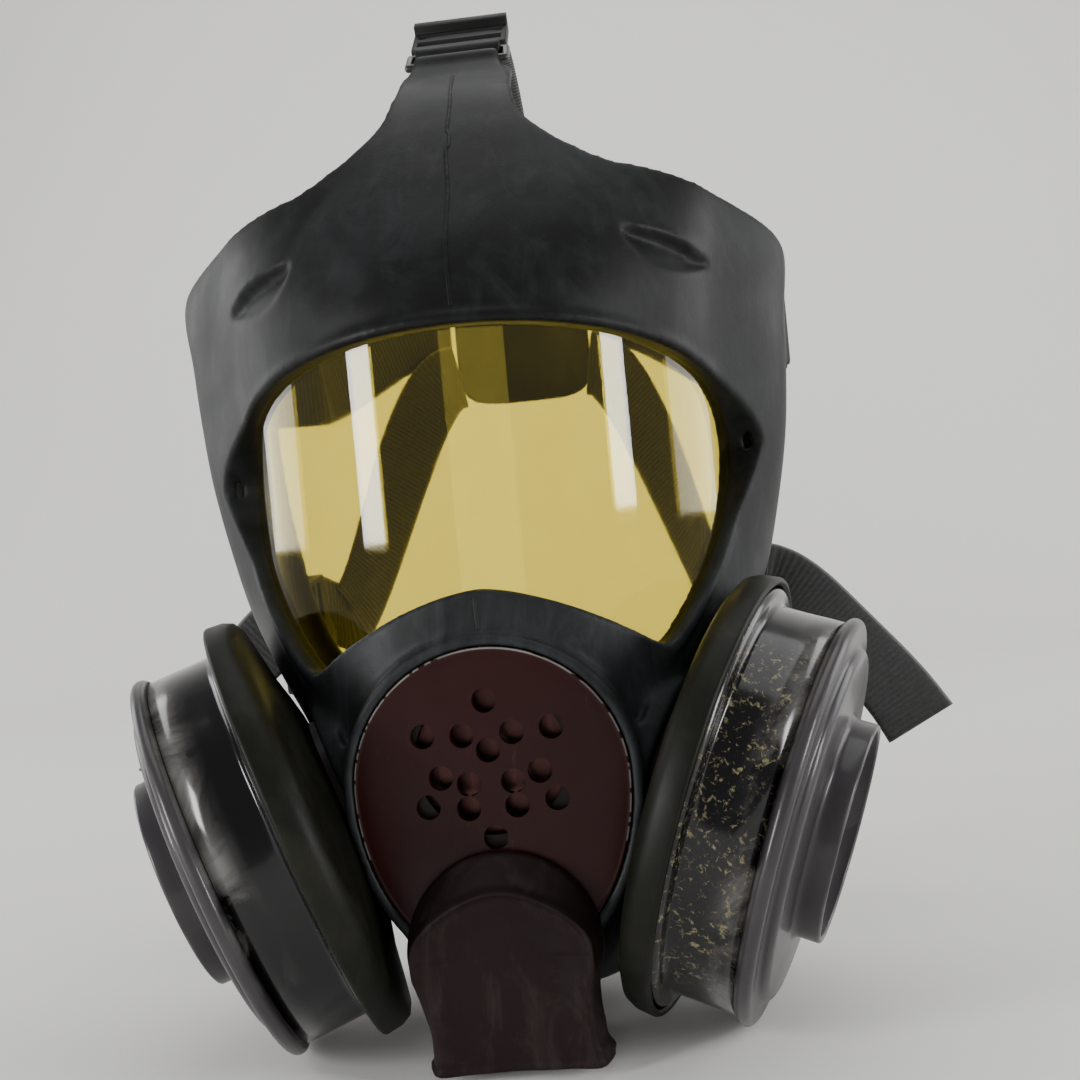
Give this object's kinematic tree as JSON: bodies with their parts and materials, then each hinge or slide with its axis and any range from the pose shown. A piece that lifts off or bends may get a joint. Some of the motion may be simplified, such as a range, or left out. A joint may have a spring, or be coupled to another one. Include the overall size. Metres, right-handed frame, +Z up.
{
  "type": "full face respirator",
  "caption": "Full face respirator: rubber facepiece with a wrap-round lens, speech plate, exhalation hood, two screw-in cartridges and a strap harness.",
  "frame": {"origin": "inside the face cavity, on the mirror plane, a little below eye height; the head mount", "axes": "+Z up, -Y the way the mask faces, +Y the way the head leaves, +X the wearer's left"},
  "size_m": [0.2702, 0.2511, 0.2956],
  "materials": {
    "facepiece_rubber": "satin moulded rubber",
    "lens": "amber tinted polycarbonate",
    "housing_plastic": "moulded",
    "speech_plate": "satin maroon-brown moulded plastic",
    "diaphragm": "thin film",
    "gasket": "matt",
    "valve_rubber": "smooth silicone",
    "hood_rubber": "soft dusty rubber",
    "holder_rubber": "olive black",
    "cartridge_paint": "gloss black enamel",
    "lid_paint": "satin black enamel",
    "screen_metal": "pressed, dark",
    "filter_paper": "pleated fibre pad",
    "sorbent": "granular carbon",
    "retainer_metal": "perforated tinplate",
    "wire": "black",
    "buckle": "black",
    "webbing": "ribbed elastic webbing",
    "pad_rubber": "matt"
  },
  "bodies": {
    "root": {"facepiece": "facepiece_rubber", "facepiece_forehead": "facepiece_rubber", "facepiece_chin": "facepiece_rubber", "lens": "lens", "front_housing": "housing_plastic", "speech_plate": "speech_plate", "speech_diaphragm": "diaphragm", "diaphragm_gasket": "gasket", "diaphragm_ring": "housing_plastic", "exhalation_seat": "housing_plastic", "exhalation_hood": "hood_rubber", "crown_pad": "pad_rubber", "top_bail": "wire", "top_strap": "webbing", "left_inlet_port": "housing_plastic", "left_cartridge_holder": "holder_rubber", "left_temple_bail": "wire", "left_cheek_bail": "wire", "left_temple_strap": "webbing", "left_cheek_strap": "webbing", "right_inlet_port": "housing_plastic", "right_cartridge_holder": "holder_rubber", "right_temple_bail": "wire", "right_cheek_bail": "wire", "right_temple_strap": "webbing", "right_cheek_strap": "webbing"},
    "left_gasket": {"left_cartridge_gasket": "gasket"},
    "left_cartridge": {"left_cartridge_body": "cartridge_paint", "left_cartridge_lid": "lid_paint", "left_inlet_screen": "screen_metal", "left_particulate_pad": "filter_paper", "left_sorbent_bed": "sorbent", "left_bed_retainer": "retainer_metal"},
    "left_inhalation_disc": {"left_inhalation_valve": "valve_rubber"},
    "right_gasket": {"right_cartridge_gasket": "gasket"},
    "right_cartridge": {"right_cartridge_body": "cartridge_paint", "right_cartridge_lid": "lid_paint", "right_inlet_screen": "screen_metal", "right_particulate_pad": "filter_paper", "right_sorbent_bed": "sorbent", "right_bed_retainer": "retainer_metal"},
    "right_inhalation_disc": {"right_inhalation_valve": "valve_rubber"},
    "exhalation_disc": {"exhalation_valve": "valve_rubber"},
    "top_buckle_body": {"top_buckle": "buckle"},
    "left_temple_buckle_body": {"left_temple_buckle": "buckle"},
    "right_temple_buckle_body": {"right_temple_buckle": "buckle"},
    "left_cheek_buckle_body": {"left_cheek_buckle": "buckle", "left_cheek_tail": "webbing"},
    "right_cheek_buckle_body": {"right_cheek_buckle": "buckle", "right_cheek_tail": "webbing"}
  },
  "joints": [
    {"name": "left_cartridge_travel", "type": "slide", "parent": "root", "child": "left_gasket", "axis": [0.9133, -0.2447, -0.3256], "range_m": [0, 0.008]},
    {"name": "left_cartridge_turn", "type": "hinge", "parent": "left_gasket", "child": "left_cartridge", "pos_m": [0.0555, -0.003, -0.0715], "axis": [0.9133, -0.2447, -0.3256], "range_deg": [0, 720]},
    {"name": "left_inhalation_lift", "type": "slide", "parent": "root", "child": "left_inhalation_disc", "axis": [-0.9133, 0.2447, 0.3256], "range_m": [0, 0.0018], "stiffness_N_per_m": 20},
    {"name": "right_cartridge_travel", "type": "slide", "parent": "root", "child": "right_gasket", "axis": [-0.9133, -0.2447, -0.3256], "range_m": [0, 0.008]},
    {"name": "right_cartridge_turn", "type": "hinge", "parent": "right_gasket", "child": "right_cartridge", "pos_m": [-0.0555, -0.003, -0.0715], "axis": [-0.9133, -0.2447, -0.3256], "range_deg": [0, 720]},
    {"name": "right_inhalation_lift", "type": "slide", "parent": "root", "child": "right_inhalation_disc", "axis": [0.9133, 0.2447, 0.3256], "range_m": [0, 0.0018], "stiffness_N_per_m": 20},
    {"name": "exhalation_lift", "type": "slide", "parent": "root", "child": "exhalation_disc", "axis": [0, -1, 0], "range_m": [0, 0.0018], "stiffness_N_per_m": 20},
    {"name": "top_buckle_tilt", "type": "hinge", "parent": "root", "child": "top_buckle_body", "pos_m": [0, 0.047, 0.1465], "axis": [1, 0, 0], "range_deg": [-10, 25]},
    {"name": "left_temple_buckle_tilt", "type": "hinge", "parent": "root", "child": "left_temple_buckle_body", "pos_m": [0.0906, 0.094, 0.06], "axis": [0, 0, -1], "range_deg": [-10, 25]},
    {"name": "right_temple_buckle_tilt", "type": "hinge", "parent": "root", "child": "right_temple_buckle_body", "pos_m": [-0.0906, 0.094, 0.06], "axis": [0, 0, 1], "range_deg": [-10, 25]},
    {"name": "left_cheek_buckle_tilt", "type": "hinge", "parent": "root", "child": "left_cheek_buckle_body", "pos_m": [0.0742, 0.084, -0.024], "axis": [-0.0064, 0.1609, -0.987], "range_deg": [-10, 25]},
    {"name": "right_cheek_buckle_tilt", "type": "hinge", "parent": "root", "child": "right_cheek_buckle_body", "pos_m": [-0.0742, 0.084, -0.024], "axis": [-0.0064, -0.1609, 0.987], "range_deg": [-10, 25]}
  ],
  "couplings": [
    {"joint": "left_cartridge_travel", "follows": "left_cartridge_turn", "m_per_rad": 0.00063662},
    {"joint": "right_cartridge_travel", "follows": "right_cartridge_turn", "m_per_rad": 0.00063662}
  ]
}
